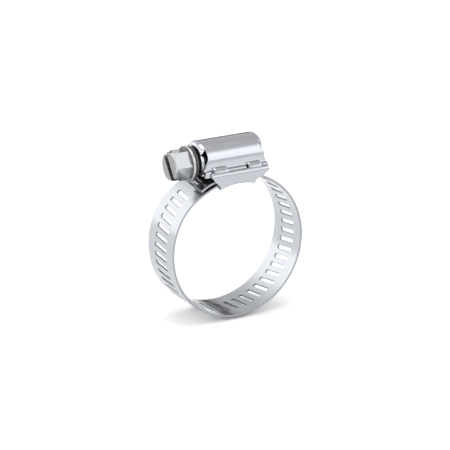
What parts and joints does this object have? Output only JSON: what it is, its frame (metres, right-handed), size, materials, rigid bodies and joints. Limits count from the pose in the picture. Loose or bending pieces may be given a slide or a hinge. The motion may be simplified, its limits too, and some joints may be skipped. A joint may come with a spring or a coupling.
{
  "type": "hose clamp",
  "caption": "Worm-drive hose clamp: a perforated steel band closed by a slotted hex-head screw in a tunnel housing.",
  "frame": {"origin": "centre of the ring, on the hose's axis, midway across the band", "axes": "+Y along the hose; +X along the screw from its hex head to its tip; +Z from the ring's centre to the screw"},
  "size_m": [0.0372, 0.0146, 0.0453],
  "materials": {
    "band_steel": "bright rolled strip",
    "saddle_steel": "bright pressed sheet",
    "housing_steel": "bright pressed sheet",
    "screw_steel": "dull turned and rolled steel"
  },
  "bodies": {
    "frame": {"housing": "housing_steel", "saddle": "saddle_steel", "band_fixed_end": "band_steel"},
    "screw": {"worm_screw": "screw_steel"},
    "free_end": {"band_free_end": "band_steel"},
    "link_1": {"band_link_1": "band_steel"},
    "link_2": {"band_link_2": "band_steel"},
    "link_3": {"band_link_3": "band_steel"},
    "link_4": {"band_link_4": "band_steel"},
    "link_5": {"band_link_5": "band_steel"},
    "link_6": {"band_link_6": "band_steel"},
    "link_7": {"band_link_7": "band_steel"}
  },
  "joints": [
    {"name": "screw_turn", "type": "hinge", "parent": "frame", "child": "screw", "pos_m": [-0.016, 0, 0.02135], "axis": [1, 0, 0], "range_deg": [-360, 720]},
    {"name": "band_feed", "type": "hinge", "parent": "frame", "child": "free_end", "pos_m": [0, 0, 0], "axis": [0, -1, 0], "range_deg": [-7.6, 15.1]},
    {"name": "band_bend_1", "type": "hinge", "parent": "free_end", "child": "link_1", "pos_m": [0.01093, 0, 0.01464], "axis": [0, -1, 0], "range_deg": [-2.55, 1.29]},
    {"name": "band_bend_2", "type": "hinge", "parent": "link_1", "child": "link_2", "pos_m": [0.01809, 0, 0.00262], "axis": [0, -1, 0], "range_deg": [-1.07, 0.55]},
    {"name": "band_bend_3", "type": "hinge", "parent": "link_2", "child": "link_3", "pos_m": [0.01464, 0, -0.01093], "axis": [0, -1, 0], "range_deg": [-1.53, 0.78]},
    {"name": "band_bend_4", "type": "hinge", "parent": "link_3", "child": "link_4", "pos_m": [0.00262, 0, -0.01809], "axis": [0, -1, 0], "range_deg": [-2.58, 1.31]},
    {"name": "band_bend_5", "type": "hinge", "parent": "link_4", "child": "link_5", "pos_m": [-0.01093, 0, -0.01464], "axis": [0, -1, 0], "range_deg": [-2.49, 1.26]},
    {"name": "band_bend_6", "type": "hinge", "parent": "link_5", "child": "link_6", "pos_m": [-0.01809, 0, -0.00262], "axis": [0, -1, 0], "range_deg": [-1.38, 0.7]},
    {"name": "band_bend_7", "type": "hinge", "parent": "link_6", "child": "link_7", "pos_m": [-0.01459, 0, 0.01089], "axis": [0, -1, 0], "range_deg": [-0.65, 0.34]}
  ],
  "couplings": [
    {"joint": "band_feed", "follows": "screw_turn", "ratio": 0.020833},
    {"joint": "band_bend_1", "follows": "screw_turn", "ratio": -0.0034944},
    {"joint": "band_bend_2", "follows": "screw_turn", "ratio": -0.0014583},
    {"joint": "band_bend_3", "follows": "screw_turn", "ratio": -0.0020889},
    {"joint": "band_bend_4", "follows": "screw_turn", "ratio": -0.0035278},
    {"joint": "band_bend_5", "follows": "screw_turn", "ratio": -0.0034056},
    {"joint": "band_bend_6", "follows": "screw_turn", "ratio": -0.0018806},
    {"joint": "band_bend_7", "follows": "screw_turn", "ratio": -0.00088611}
  ]
}
